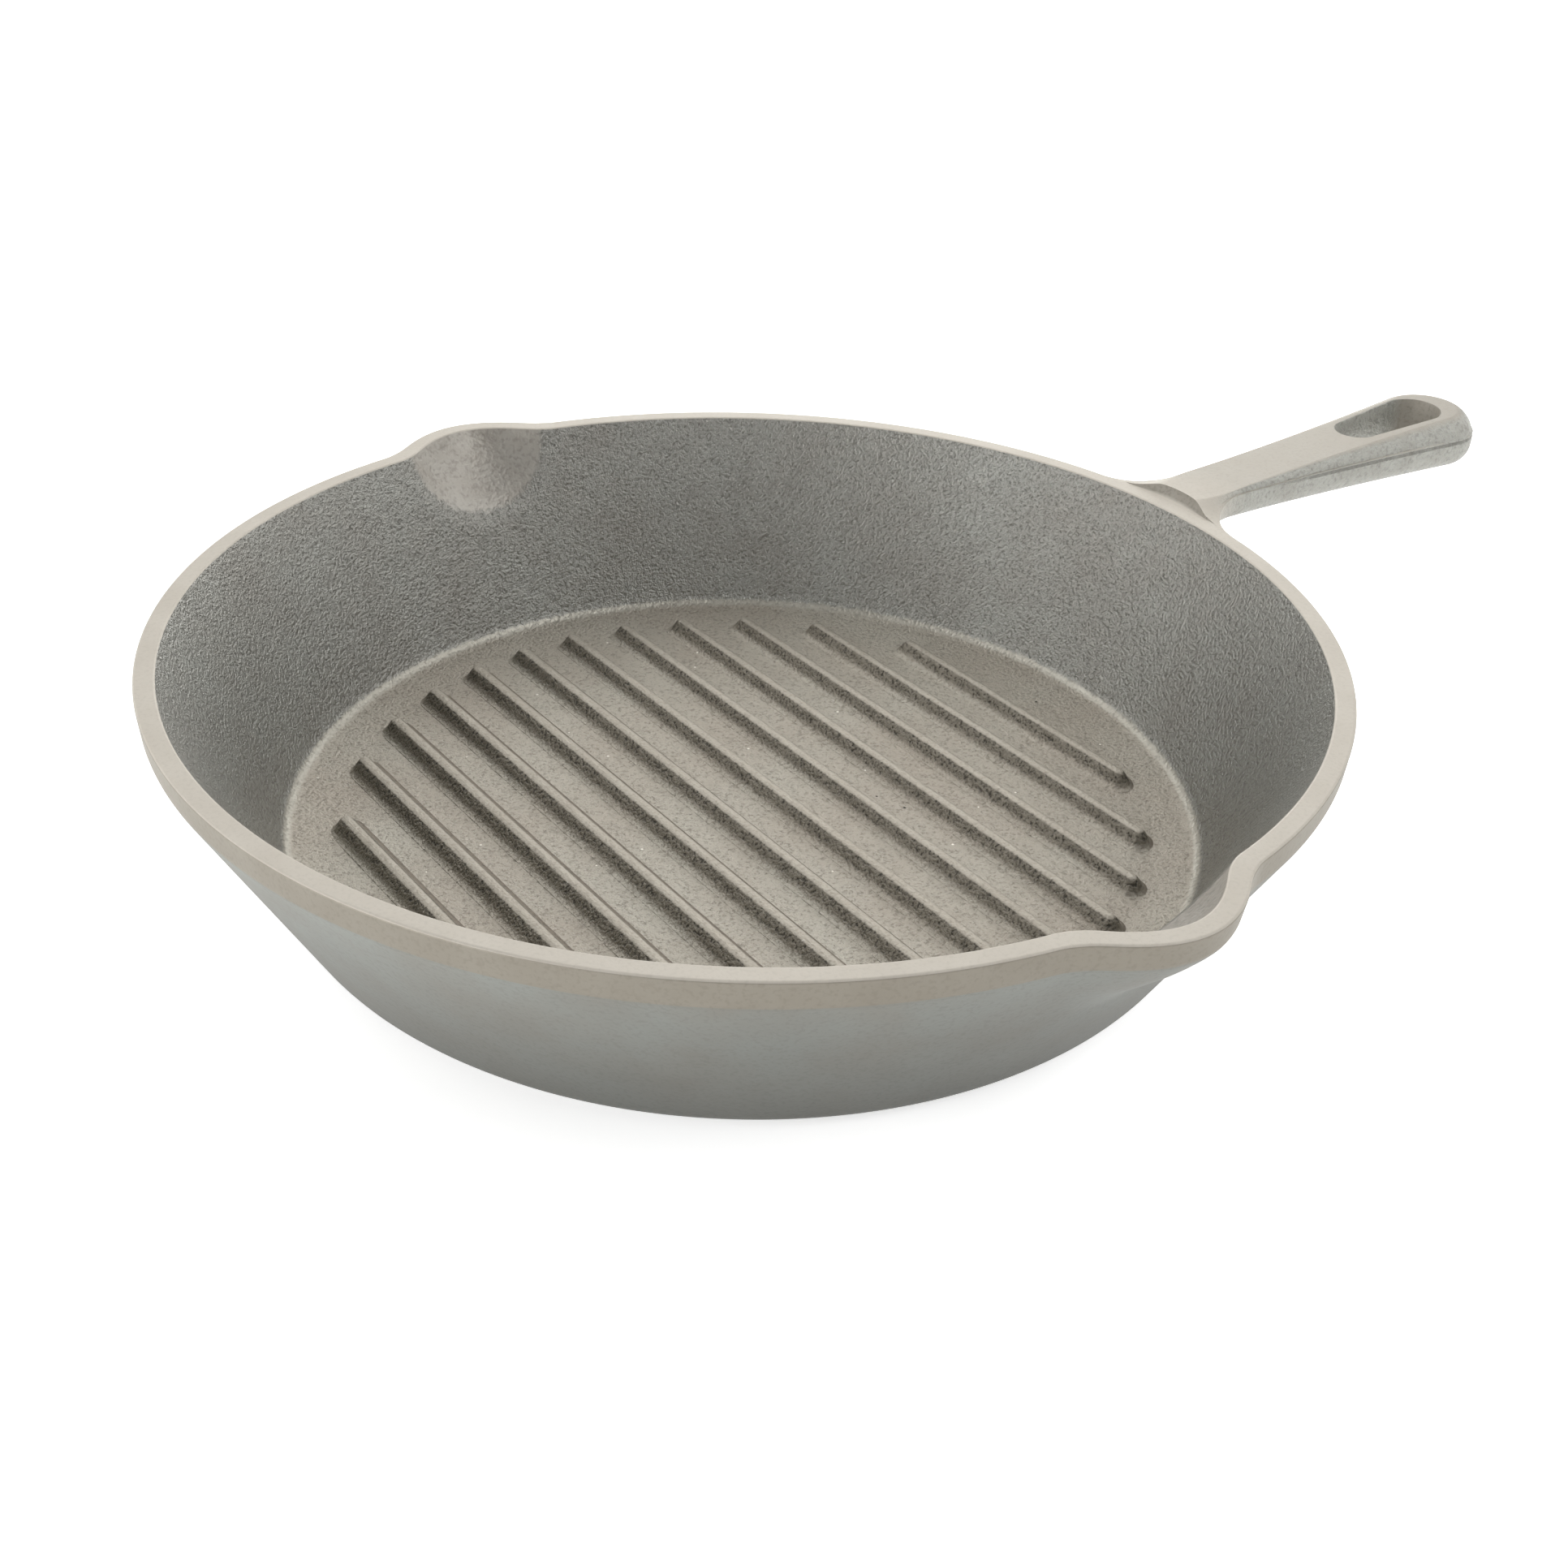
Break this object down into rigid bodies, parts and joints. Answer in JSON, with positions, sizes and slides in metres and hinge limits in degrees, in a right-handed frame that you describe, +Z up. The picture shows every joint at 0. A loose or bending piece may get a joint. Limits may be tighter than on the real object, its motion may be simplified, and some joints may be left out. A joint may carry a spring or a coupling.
{
  "type": "grill pan",
  "caption": "Round raw cast iron grill pan with raised parallel ribs, two opposite pouring spouts and a flat handle with a teardrop hang hole.",
  "frame": {"origin": "centre of the flat underside, on the axis of the turned bowl", "axes": "+X along the handle towards its tip, +Y along the line through the two spouts and along the ribs, +Z up"},
  "size_m": [0.3713, 0.2772, 0.0611],
  "materials": {
    "shot_blasted_cast_iron": "raw as-cast iron, shot blasted, matt grey with a warm cast"
  },
  "bodies": {
    "root": {"pan_casting": "shot_blasted_cast_iron"}
  },
  "joints": []
}
